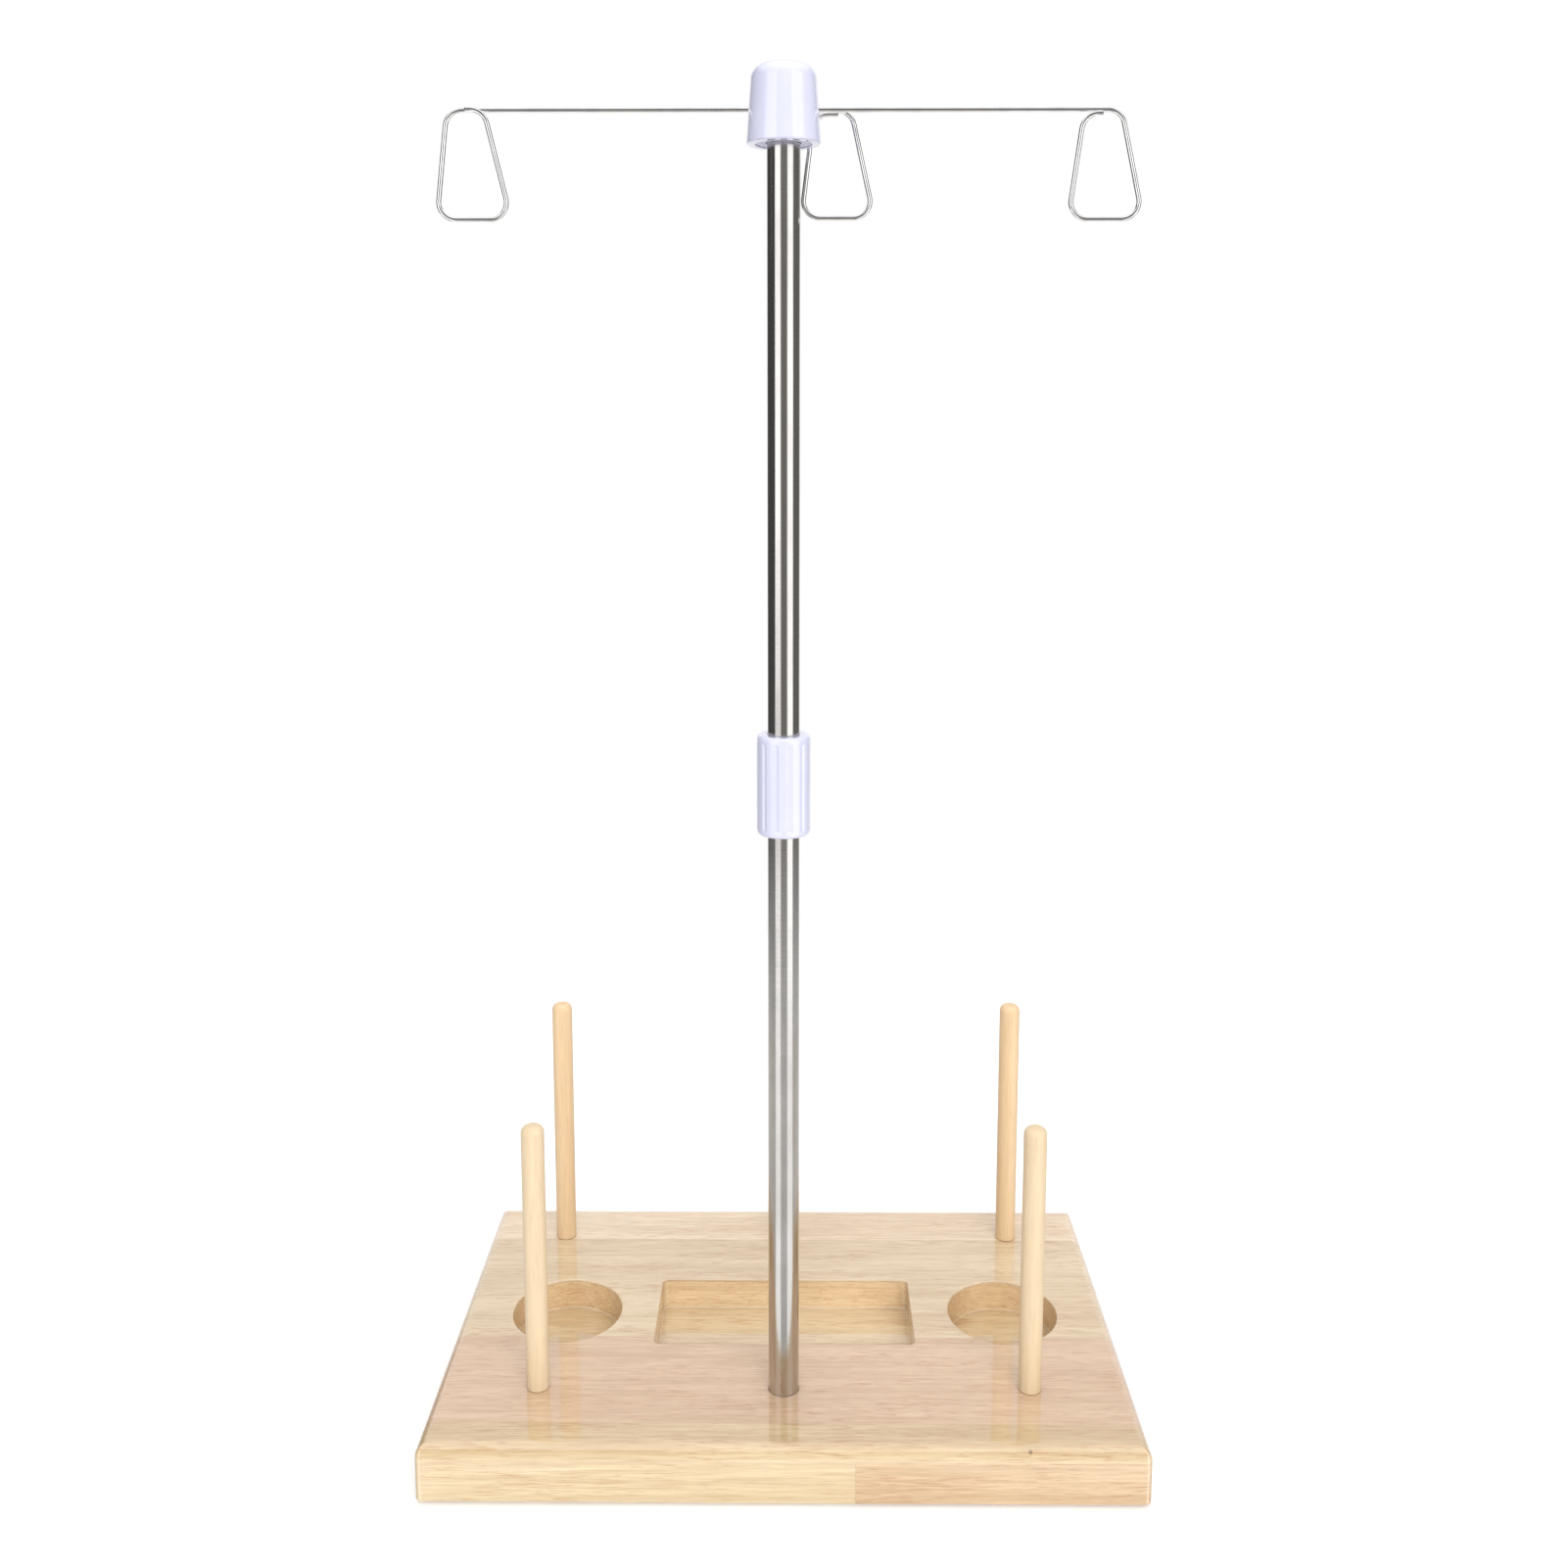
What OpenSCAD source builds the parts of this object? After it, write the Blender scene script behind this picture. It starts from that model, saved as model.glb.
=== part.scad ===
// Thread stand: a wooden base board with dowel spool pins, a steel pole in two
// lengths and a turning head that carries three wire thread guides.
// Millimetres. +Z is up, the front faces -Y and +X is on the right seen from the front.
// The origin is on the resting surface, under the middle of the base board.

/* [Base board] */
// Width of the board, left to right
base_w = 275; // [265:1:320]
// Depth of the board, front to back
base_d = 175; // [168:1:220]
// Thickness of the board
base_t = 22; // [20:1:30]
// Radius of the rounded top edges
edge_r = 5; // [2:0.5:8]
// Radius of the upright corners
corner_r = 2.5; // [1:0.5:8]

/* [Recesses] */
// Depth of all three recesses
recess_h = 13; // [8:0.5:15]
// Distance of the row of recesses behind the middle of the board
recess_y = 1.5; // [-4:0.5:6]
// Diameter of the two round recesses
cup_d = 46; // [40:0.5:52]
// Distance of each round recess from the middle of the board
cup_x = 93; // [88:0.5:96]
// Length of the long recess
tray_w = 108; // [80:1:116]
// Width of the long recess, front to back
tray_d = 47; // [35:1:50]
// Radius of the long recess's corners
tray_r = 2.5; // [1:0.5:6]

/* [Spool pins] */
// Diameter of the dowels
pin_d = 9; // [8:0.5:12]
// Height of the front pins above the board
front_pin_h = 109; // [80:0.5:150]
// Height of the rear pins above the board
rear_pin_h = 113.5; // [80:0.5:150]
// Diameter of the tenon at each pin's foot
tenon_d = 7; // [4:0.5:7]
// Depth of the holes that the tenons stand in
pin_hole_h = 15; // [10:0.5:16]
// Radius that rounds each pin's top
pin_tip_r = 3; // [1:0.5:4]
// Distance of the front pins from the middle of the board
front_pin_x = 97; // [90:0.5:110]
// Distance of the outer rear pins from the middle of the board
rear_pin_x = 102.5; // [90:0.5:110]
// Distance of the front row behind the front edge
front_row_inset = 37; // [30:0.5:40]
// Distance of the rear row from the back edge
rear_row_inset = 25.5; // [20:0.5:30]

/* [Pole] */
// Outer diameter of both tubes
tube_d = 12; // [12:0.5:14]
// Wall of both tubes
tube_wall = 1; // [0.8:0.1:1.2]
// Depth of the socket that the pole stands in
socket_h = 13; // [8:0.5:13]
// Length of the plug inside the tube's foot
foot_plug_h = 25; // [20:1:40]
// Diameter of the screw that holds the pole down
screw_d = 5; // [4:0.5:5]

/* [Collar] */
// Height of the collar's lower end above the board
collar_z = 225; // [180:0.5:280]
// Length of the collar
collar_h = 38; // [30:0.5:60]
// Outer diameter of the collar
collar_d = 20; // [19:0.5:26]
// Number of grip grooves round the collar
groove_count = 12; // [8:1:20]
// Depth of the grip grooves
groove_depth = 0.4; // [0.2:0.05:0.7]
// Length of the spigot inside each tube
spigot_reach = 24; // [15:1:40]

/* [Head] */
// Height of the cap's lower rim above the board
cap_z = 474.5; // [420:0.5:560]
// Height of the cap
cap_h = 27.5; // [26:0.5:36]
// Diameter of the cap at its lower rim
cap_d = 26.5; // [26:0.5:32]
// Radius of the cap's shoulder
cap_shoulder_r = 5.5; // [2:0.5:7]
// Thickness of the cap's top
cap_top_t = 3.5; // [3:0.5:5]

/* [Thread guides] */
// Diameter of the wire
wire_d = 1.8; // [1.5:0.1:2.2]
// Distance from the pole to the middle of a side loop
side_reach = 113.5; // [60:0.5:120]
// Distance from the pole to the middle of the middle loop, to the right
middle_reach = 19; // [19:0.5:40]
// Distance of the middle loop behind the pole
middle_back = 12.5; // [12.5:0.5:25]
// Height of the middle guide above the side guides
middle_rise = 2; // [0:0.5:3]
// Width of a loop at its top, between wire centres
loop_top_w = 13.4; // [13:0.2:18]
// Width of a loop at its bottom, between wire centres
loop_bottom_w = 26.4; // [24:0.2:34]
// Height of a loop, between wire centres
loop_h = 37.5; // [30:0.5:45]
// Distance that a loop's bottom leans to the right
loop_lean = 2; // [0:0.1:3]
// Radius of the wire's bends
bend_r = 6; // [4:0.2:6]

/* [Foot pads] */
// Diameter of the anti-slip pads
pad_d = 14; // [8:0.5:18]
// Thickness of the anti-slip pads
pad_t = 1.2; // [1:0.1:3]
// Distance of the pads' centres from the board's edges
pad_inset = 16; // [12:0.5:20]

/* [Hidden] */
$fn = 96;

// Colours
wood = [0.87, 0.73, 0.54];
dowel_wood = [0.92, 0.79, 0.59];
steel = [0.72, 0.71, 0.69];
wire_steel = [0.80, 0.80, 0.80];
white_plastic = [0.90, 0.90, 0.98];
inner_plastic = [0.75, 0.75, 0.78];
zinc = [0.66, 0.67, 0.68];
pad_rubber = [0.20, 0.20, 0.21];

// Clearances
fit_gap = 0.05;    // radial, between a fitted pair
face_gap = 0.3;    // between faces of pieces that turn on each other
end_gap = 0.1;     // under a face that rests on its seat
tenon_gap = 0.5;   // under a tenon, so that its shoulder seats first
past = 1;          // how far a cutter runs past a face

// Levels and rows
top_z = pad_t + base_t;
front_y = front_row_inset - base_d / 2;
rear_y = base_d / 2 - rear_row_inset;
pole_y = front_y;
pad_x = base_w / 2 - pad_inset;
pad_y = base_d / 2 - pad_inset;

// Pole
tube_bore_d = tube_d - 2 * tube_wall;
plug_d = tube_bore_d - 2 * fit_gap;
collar_mid_z = top_z + collar_z + collar_h / 2;
collar_stop_t = 2;
collar_edge_r = 1.5;
groove_r = 1.2;
groove_end = 2.5;

// Pole screw
washer_d = 14;
washer_t = 1.2;
washer_bore_d = screw_d + 0.5;
screw_head_d = 9.5;
screw_head_h = 3;
screw_reach = 18;
drive_w = 1.2;
drive_l = 5.4;
drive_h = 1.6;
counterbore_d = 16;
counterbore_h = washer_t + screw_head_h + face_gap;

// Head
cap_draft = 1.5;
cavity_d = 20;
rim_r = 0.8;
hub_h = 15;
hub_inset = 0.5;
hub_spigot_h = 18;
hub_z = top_z + cap_z + cap_h - cap_top_t - hub_h - end_gap;
arm_z = hub_z + 3;
wire_hole_d = wire_d + 2 * fit_gap;
wire_start = 3;
middle_bend_r = 3.5;
middle_tail = 2;
middle_angle = 55;
tail_gap = wire_d + 0.3;
tail_offset = tail_gap * [0, -sin(45), -sin(45)];
wire_sides = 10;
bend_steps = 8;

// ---- Shared shapes ----

// Rectangle with rounded corners, centred on the origin
module rounded_square(w, d, r) {
    square([w - 2 * r, d], center = true);
    square([w, d - 2 * r], center = true);
    for (x = [-1, 1], y = [-1, 1])
        translate([x * (w / 2 - r), y * (d / 2 - r)]) circle(r = r);
}

// Upper right quarter of a disc that is centred on the origin
module quarter_disc(r) {
    intersection() {
        circle(r = r);
        square(r);
    }
}

// Board seen end on: flat below, with its two top corners rounded
module board_profile(w) {
    translate([-w / 2, 0]) square([w, base_t - edge_r]);
    translate([edge_r - w / 2, 0]) square([w - 2 * edge_r, base_t]);
    for (x = [-1, 1])
        translate([x * (w / 2 - edge_r), base_t - edge_r]) circle(r = edge_r);
}

module spool_pin(x, y, h) {
    color(dowel_wood)
        translate([x, y, top_z])
        rotate_extrude() {
            translate([0, tenon_gap - pin_hole_h]) square([tenon_d / 2, pin_hole_h]);
            translate([0, end_gap]) square([pin_d / 2, h - pin_tip_r - end_gap]);
            square([pin_d / 2 - pin_tip_r, h]);
            translate([pin_d / 2 - pin_tip_r, h - pin_tip_r]) quarter_disc(pin_tip_r);
        }
}

module foot_pad(x, y) {
    color(pad_rubber)
        translate([x, y, 0])
        cylinder(d = pad_d, h = pad_t);
}

module pole_tube(low_z, high_z) {
    color(steel)
        translate([0, pole_y, low_z])
        difference() {
            cylinder(d = tube_d, h = high_z - low_z);
            translate([0, 0, -past]) cylinder(d = tube_bore_d, h = high_z - low_z + 2 * past);
        }
}

// ---- Bent wire ----

function unit(v) = v / norm(v);

function turn_at(before, corner, after) =
    let (a = unit(corner - before), b = unit(after - corner))
    atan2(norm(cross(a, b)), a * b);

// Rings round one bend, each as [centre, direction of the wire]
function bend_rings(before, corner, after, radius) =
    let (turn = turn_at(before, corner, after),
         along = unit(corner - before),
         inward = cross(unit(cross(along, after - corner)), along),
         start = corner - along * radius * tan(turn / 2))
    [for (i = [0:bend_steps])
        let (a = turn * i / bend_steps)
        [start + radius * (inward * (1 - cos(a)) + along * sin(a)),
         along * cos(a) + inward * sin(a)]];

// Rings along a list of corners, with a bend of radii[i] at corner i
function wire_rings(points, radii) =
    let (last = len(points) - 1)
    concat([[points[0], unit(points[1] - points[0])]],
           [for (i = [1:last - 1])
               each bend_rings(points[i - 1], points[i], points[i + 1], radii[i])],
           [[points[last], unit(points[last] - points[last - 1])]]);

// One direction across the wire at each ring, carried along so that the wire doesn't twist
function carried(rings, i, before) =
    i == len(rings) ? []
        : let (along = rings[i][1], now = unit(before - along * (before * along)))
          concat([now], carried(rings, i + 1, now));

// Solid round wire, with a ring of wire_sides points at each ring's centre
module bent_wire(points, radii) {
    rings = wire_rings(points, radii);
    across = carried(rings, 0, [0.1, 1, 0.2]);
    skin = [for (i = [0:len(rings) - 1], k = [0:wire_sides - 1])
        let (a = 360 * k / wire_sides)
        rings[i][0] + wire_d / 2 * (across[i] * cos(a) + cross(rings[i][1], across[i]) * sin(a))];
    sides = [for (i = [0:len(rings) - 2], k = [0:wire_sides - 1])
        let (near = i * wire_sides, far = near + wire_sides, next = (k + 1) % wire_sides)
        each [[near + k, far + k, near + next], [near + next, far + k, far + next]]];
    first_end = [for (k = [0:wire_sides - 1]) k];
    last_end = [for (k = [1:wire_sides]) len(skin) - k];
    polyhedron(skin, concat([first_end], sides, [last_end]));
}

// Corners of a loop that hangs from x, in the plane at y
function loop_top(x, y, side) = [x + side * loop_top_w / 2, y, 0];
function loop_bottom(x, y, side) = [x + loop_lean + side * loop_bottom_w / 2, y, -loop_h];

// Four bends of the loop's own size after the bends listed in first
function loop_radii(first) = concat([0], first, [bend_r, bend_r, bend_r, bend_r, 0]);

module thread_guide(points, radii) {
    color(wire_steel)
        translate([0, pole_y, arm_z])
        bent_wire(points, radii);
}

// Straight hole for a wire, from the hub's middle out past the cap
module wire_hole(angle, rise) {
    translate([0, 0, arm_z + rise])
        rotate([0, 0, angle])
        rotate([0, 90, 0])
        translate([0, 0, wire_start - end_gap])
        cylinder(d = wire_hole_d, h = cap_d);
}

module wire_holes() {
    for (angle = [0, 180]) wire_hole(angle, 0);
    wire_hole(middle_angle, middle_rise);
}

// ---- Sub-parts ----

module base_board() {
    color(wood)
        difference() {
            translate([0, 0, pad_t])
                intersection() {
                    linear_extrude(base_t) rounded_square(base_w, base_d, corner_r);
                    rotate([90, 0, 0])
                        translate([0, 0, -base_d / 2])
                        linear_extrude(base_d) board_profile(base_w);
                    rotate([90, 0, 90])
                        translate([0, 0, -base_w / 2])
                        linear_extrude(base_w) board_profile(base_d);
                }
            for (side = [-1, 1])
                translate([side * cup_x, recess_y, top_z - recess_h])
                    cylinder(d = cup_d, h = recess_h + past);
            translate([0, recess_y, top_z - recess_h])
                linear_extrude(recess_h + past) rounded_square(tray_w, tray_d, tray_r);
            for (x = [-front_pin_x, front_pin_x]) pin_hole(x, front_y);
            for (x = [-rear_pin_x, 0, rear_pin_x]) pin_hole(x, rear_y);
            translate([0, pole_y, 0]) pole_socket();
        }
}

module pin_hole(x, y) {
    translate([x, y, top_z - pin_hole_h])
        cylinder(d = tenon_d + 2 * fit_gap, h = pin_hole_h + past);
}

module pole_socket() {
    translate([0, 0, top_z - socket_h])
        cylinder(d = tube_d + 2 * fit_gap, h = socket_h + past);
    cylinder(d = washer_bore_d, h = top_z);
    cylinder(d = counterbore_d, h = pad_t + counterbore_h);
}

module front_left_pad() { foot_pad(-pad_x, -pad_y); }

module front_right_pad() { foot_pad(pad_x, -pad_y); }

module rear_left_pad() { foot_pad(-pad_x, pad_y); }

module rear_right_pad() { foot_pad(pad_x, pad_y); }

module front_left_pin() { spool_pin(-front_pin_x, front_y, front_pin_h); }

module front_right_pin() { spool_pin(front_pin_x, front_y, front_pin_h); }

module rear_left_pin() { spool_pin(-rear_pin_x, rear_y, rear_pin_h); }

module rear_centre_pin() { spool_pin(0, rear_y, rear_pin_h); }

module rear_right_pin() { spool_pin(rear_pin_x, rear_y, rear_pin_h); }

module lower_tube() {
    pole_tube(top_z - socket_h, collar_mid_z - collar_stop_t / 2);
}

module upper_tube() {
    pole_tube(collar_mid_z + collar_stop_t / 2 + end_gap, hub_z - face_gap);
}

module foot_plug() {
    color(inner_plastic)
        translate([0, pole_y, top_z - socket_h])
        difference() {
            cylinder(d = plug_d, h = foot_plug_h);
            translate([0, 0, -past]) cylinder(d = screw_d + 2 * fit_gap, h = screw_reach + 2 * past);
        }
}

module screw_washer() {
    color(zinc)
        translate([0, pole_y, pad_t + counterbore_h - washer_t])
        difference() {
            cylinder(d = washer_d, h = washer_t);
            translate([0, 0, -past]) cylinder(d = washer_bore_d, h = washer_t + 2 * past);
        }
}

module pole_screw() {
    head_z = pad_t + counterbore_h - washer_t - screw_head_h;
    color(zinc)
        translate([0, pole_y, head_z])
        difference() {
            union() {
                cylinder(d1 = screw_head_d - 1, d2 = screw_head_d, h = 1);
                translate([0, 0, 1]) cylinder(d = screw_head_d, h = screw_head_h - 1);
                cylinder(d = screw_d, h = top_z - socket_h + screw_reach - head_z);
            }
            for (angle = [0, 90])
                rotate([0, 0, angle])
                translate([-drive_l / 2, -drive_w / 2, -past])
                cube([drive_l, drive_w, drive_h + past]);
        }
}

module joint_collar() {
    color(white_plastic)
        translate([0, pole_y, collar_mid_z])
        difference() {
            rotate_extrude()
                intersection() {
                    rounded_square(collar_d, collar_h, collar_edge_r);
                    translate([0, -collar_h / 2]) square([collar_d / 2, collar_h]);
                }
            for (side = [-1, 1])
                translate([0, 0, side > 0 ? collar_stop_t / 2 : -collar_h / 2 - past])
                    cylinder(d = tube_d + 2 * fit_gap, h = (collar_h - collar_stop_t) / 2 + past);
            cylinder(d = tube_bore_d, h = collar_h, center = true);
            for (i = [0:groove_count - 1])
                rotate([0, 0, (i + 0.5) * 360 / groove_count])
                translate([collar_d / 2 + groove_r - groove_depth, 0, groove_end - collar_h / 2])
                cylinder(r = groove_r, h = collar_h - 2 * groove_end, $fn = 48);
        }
}

module joint_spigot() {
    color(inner_plastic)
        translate([0, pole_y, collar_mid_z - spigot_reach])
        cylinder(d = plug_d, h = 2 * spigot_reach);
}

module head_cap() {
    top_r = cap_d / 2 - cap_draft;
    shoulder_z = cap_h - cap_shoulder_r;
    color(white_plastic)
        difference() {
            translate([0, pole_y, top_z + cap_z])
                rotate_extrude()
                difference() {
                    union() {
                        polygon([[0, 0], [cap_d / 2 - rim_r, 0], [cap_d / 2 - rim_r, rim_r],
                                 [cap_d / 2, rim_r], [top_r, shoulder_z], [0, shoulder_z]]);
                        translate([cap_d / 2 - rim_r, rim_r]) circle(r = rim_r);
                        square([top_r - cap_shoulder_r, cap_h]);
                        translate([top_r - cap_shoulder_r, shoulder_z])
                            quarter_disc(cap_shoulder_r);
                    }
                    square([cavity_d / 2, cap_h - cap_top_t]);
                }
            translate([0, pole_y, 0]) wire_holes();
        }
}

// Fills the cap, with a spigot that turns inside the tube and a skirt round the tube's end
module guide_hub() {
    skirt_z = top_z + cap_z + hub_inset;
    color(white_plastic)
        translate([0, pole_y, 0])
        difference() {
            union() {
                difference() {
                    translate([0, 0, skirt_z])
                        cylinder(d = cavity_d - 2 * fit_gap, h = hub_z + hub_h - skirt_z);
                    translate([0, 0, skirt_z - past])
                        cylinder(d = tube_d + 2 * face_gap, h = hub_z - skirt_z + past);
                }
                translate([0, 0, hub_z - hub_spigot_h]) cylinder(d = plug_d, h = hub_spigot_h + past);
            }
            wire_holes();
        }
}

// The wire runs out to the loop's far corner, round it, and its tail crosses in front
module left_guide() {
    x = -side_reach;
    thread_guide([[-wire_start, 0, 0], loop_top(x, 0, -1), loop_bottom(x, 0, -1),
                  loop_bottom(x, 0, 1), loop_top(x, -tail_gap, 1), [x, -tail_gap, 0]],
                 loop_radii([]));
}

// The wire runs out to the loop's far corner, round it, and its tail ends under the arm
module right_guide() {
    x = side_reach;
    thread_guide([[wire_start, 0, 0], loop_top(x, 0, 1), loop_bottom(x, 0, 1),
                  loop_bottom(x, 0, -1), loop_top(x, 0, -1) + tail_offset,
                  [x, 0, 0] + tail_offset],
                 loop_radii([]));
}

// As the right guide, with a bend behind the cap that turns the wire to the right
module middle_guide() {
    x = middle_reach;
    y = middle_back;
    translate([0, 0, middle_rise])
        thread_guide([[wire_start * cos(middle_angle), wire_start * sin(middle_angle), 0],
                      [y / tan(middle_angle), y, 0], loop_top(x, y, 1), loop_bottom(x, y, 1),
                      loop_bottom(x, y, -1), loop_top(x, y, -1) + tail_offset,
                      [x + middle_tail, y, 0] + tail_offset],
                     loop_radii([middle_bend_r]));
}

base_board();
front_left_pad();
front_right_pad();
rear_left_pad();
rear_right_pad();
front_left_pin();
front_right_pin();
rear_left_pin();
rear_centre_pin();
rear_right_pin();
lower_tube();
foot_plug();
pole_screw();
screw_washer();
joint_collar();
joint_spigot();
upper_tube();
head_cap();
guide_hub();
left_guide();
right_guide();
middle_guide();
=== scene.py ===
"""Sewing thread stand: a lacquered board with dowel spool pins, a jointed steel pole and thread guides.

Everything is in metres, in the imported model's own frame. Places come from the frame's boxes; details such
as lips, roundings and chamfers are named here. Sizes and places inside materials are in millimetres.
"""

import math

import bpy
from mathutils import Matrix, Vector
from mathutils.geometry import tessellate_polygon


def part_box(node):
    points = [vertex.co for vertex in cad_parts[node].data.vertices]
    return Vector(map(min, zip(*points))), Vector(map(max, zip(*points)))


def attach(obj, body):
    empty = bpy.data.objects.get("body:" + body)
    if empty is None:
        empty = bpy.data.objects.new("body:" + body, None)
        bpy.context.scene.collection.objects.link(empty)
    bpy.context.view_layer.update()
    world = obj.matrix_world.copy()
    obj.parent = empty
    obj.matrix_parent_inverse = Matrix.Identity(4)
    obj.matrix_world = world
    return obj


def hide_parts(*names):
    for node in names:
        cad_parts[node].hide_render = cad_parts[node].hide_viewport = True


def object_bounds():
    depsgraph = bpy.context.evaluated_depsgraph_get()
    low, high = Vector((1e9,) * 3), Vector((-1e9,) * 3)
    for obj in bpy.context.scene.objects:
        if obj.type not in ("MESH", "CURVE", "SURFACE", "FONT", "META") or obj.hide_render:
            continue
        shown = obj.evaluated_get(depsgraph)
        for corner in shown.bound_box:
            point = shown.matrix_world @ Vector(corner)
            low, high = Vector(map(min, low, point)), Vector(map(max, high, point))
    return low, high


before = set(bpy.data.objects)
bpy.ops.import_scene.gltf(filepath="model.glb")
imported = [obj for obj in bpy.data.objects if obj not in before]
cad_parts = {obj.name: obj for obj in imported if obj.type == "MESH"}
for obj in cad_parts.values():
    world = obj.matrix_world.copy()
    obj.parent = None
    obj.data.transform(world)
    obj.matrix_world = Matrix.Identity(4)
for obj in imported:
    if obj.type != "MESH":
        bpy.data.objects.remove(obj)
cad_low, cad_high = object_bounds()

MM = 0.001
TAU = 2 * math.pi

# ---------------------------------------------------------------- camera

LENS_MM = 35
SENSOR_MM = 36
CAMERA_SHIFT = -0.1
CAMERA_PITCH = math.radians(7.81)
CAMERA_YAW = math.radians(0.45)
CAMERA_AHEAD = 518.6 * MM  # in front of the board's front edge
CAMERA_RISE = 402.3 * MM  # above the resting surface
CAMERA_ASIDE = 4.5 * MM


def add_camera():
    data = bpy.data.cameras.new("camera")
    data.sensor_width = SENSOR_MM
    data.lens = LENS_MM
    data.shift_y = CAMERA_SHIFT
    camera = bpy.data.objects.new("camera", data)
    bpy.context.scene.collection.objects.link(camera)
    camera.location = (CAMERA_ASIDE, cad_low.y - CAMERA_AHEAD, CAMERA_RISE)
    camera.rotation_euler = (math.pi / 2 - CAMERA_PITCH, 0, CAMERA_YAW)
    bpy.context.scene.camera = camera


# ---------------------------------------------------------------- node helpers


class Nodes:
    """Short calls that add shader nodes to one tree."""

    def __init__(self, tree):
        self.tree = tree
        tree.nodes.clear()

    def add(self, kind, **settings):
        node = self.tree.nodes.new(kind)
        for name, value in settings.items():
            setattr(node, name, value)
        return node

    def link(self, source, target):
        if isinstance(source, bpy.types.NodeSocket):
            self.tree.links.new(source, target)
        else:
            target.default_value = source

    def math(self, operation, *values, clamp=False):
        node = self.add("ShaderNodeMath", operation=operation, use_clamp=clamp)
        for socket, value in zip(node.inputs, values):
            self.link(value, socket)
        return node.outputs[0]

    def vector(self, operation, *values):
        node = self.add("ShaderNodeVectorMath", operation=operation)
        for socket, value in zip(node.inputs, values):
            self.link(value, socket)
        return node.outputs["Value" if operation in ("DISTANCE", "LENGTH", "DOT_PRODUCT") else "Vector"]

    def place(self):
        """Object position in millimetres."""
        coordinates = self.add("ShaderNodeTexCoord").outputs["Object"]
        return self.vector("MULTIPLY", coordinates, (1 / MM,) * 3)

    def split(self, vector):
        node = self.add("ShaderNodeSeparateXYZ")
        self.link(vector, node.inputs[0])
        return node.outputs

    def join(self, x, y, z):
        node = self.add("ShaderNodeCombineXYZ")
        for socket, value in zip(node.inputs, (x, y, z)):
            self.link(value, socket)
        return node.outputs[0]

    def noise(self, vector, size, detail=3.0, roughness=0.55, distortion=0.0):
        """Noise whose features are size millimetres long on each axis."""
        node = self.add("ShaderNodeTexNoise")
        scaled = self.vector("DIVIDE", vector, tuple(size))
        self.link(scaled, node.inputs["Vector"])
        node.inputs["Scale"].default_value = 1
        node.inputs["Detail"].default_value = detail
        node.inputs["Roughness"].default_value = roughness
        node.inputs["Distortion"].default_value = distortion
        return node.outputs["Fac"]

    def ramp(self, value, low, high, start=0.0, end=1.0):
        """value from low to high gives start to end, clamped and smooth."""
        node = self.add("ShaderNodeMapRange", interpolation_type="SMOOTHSTEP")
        for socket, item in zip(node.inputs, (value, low, high, start, end)):
            self.link(item, socket)
        return node.outputs[0]

    def mix(self, factor, first, second, blend="MIX"):
        node = self.add("ShaderNodeMix", data_type="RGBA", blend_type=blend)
        self.link(factor, node.inputs["Factor"])
        for name, value in (("A", first), ("B", second)):
            socket = next(s for s in node.inputs if s.name == name and s.type == "RGBA")
            self.link(value if isinstance(value, bpy.types.NodeSocket) else (*value, 1), socket)
        return next(s for s in node.outputs if s.type == "RGBA")

    def grey(self, value):
        """A multiplier as a colour."""
        return self.join(value, value, value)

    def bump(self, height, strength, depth_mm):
        node = self.add("ShaderNodeBump")
        node.inputs["Strength"].default_value = strength
        node.inputs["Distance"].default_value = depth_mm * MM
        self.link(height, node.inputs["Height"])
        return node.outputs[0]


def finish_material(material, nodes, colour, roughness, normal=None, **fixed):
    """Principled shader; fixed gives the uniform values of further sockets, such as Coat_Weight."""
    shader = nodes.add("ShaderNodeBsdfPrincipled")
    output = nodes.add("ShaderNodeOutputMaterial")
    nodes.link(shader.outputs[0], output.inputs[0])
    nodes.link(colour, shader.inputs["Base Color"])
    nodes.link(roughness, shader.inputs["Roughness"])
    if normal is not None:
        nodes.link(normal, shader.inputs["Normal"])
    for name, value in fixed.items():
        shader.inputs[name.replace("_", " ")].default_value = value
    return material


def new_material(name):
    material = bpy.data.materials.new(name)
    material.use_nodes = True
    return material, Nodes(material.node_tree)


# ---------------------------------------------------------------- mesh helpers


def new_piece(name, verts, faces, material, body, node, sharp_deg=40):
    """Mesh object that stands for one CAD node, smooth apart from edges sharper than sharp_deg."""
    mesh = bpy.data.meshes.new(name)
    mesh.from_pydata([tuple(v) for v in verts], [], faces)
    mesh.validate()
    mesh.update()
    mesh.shade_smooth()
    mesh.set_sharp_from_angle(angle=math.radians(sharp_deg))
    piece = bpy.data.objects.new(name, mesh)
    bpy.context.scene.collection.objects.link(piece)
    mesh.materials.append(material)
    normals = piece.modifiers.new("normals", "WEIGHTED_NORMAL")
    normals.keep_sharp = True
    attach(piece, body)
    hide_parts(node)
    return piece


def arc(centre_r, centre_z, radius, start_deg, end_deg, steps):
    """Points (r, z) along an arc, both ends included."""
    points = []
    for i in range(steps + 1):
        angle = math.radians(start_deg + (end_deg - start_deg) * i / steps)
        points.append((centre_r + radius * math.cos(angle), centre_z + radius * math.sin(angle)))
    return points


ON_AXIS = 0.0001 * MM


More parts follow.
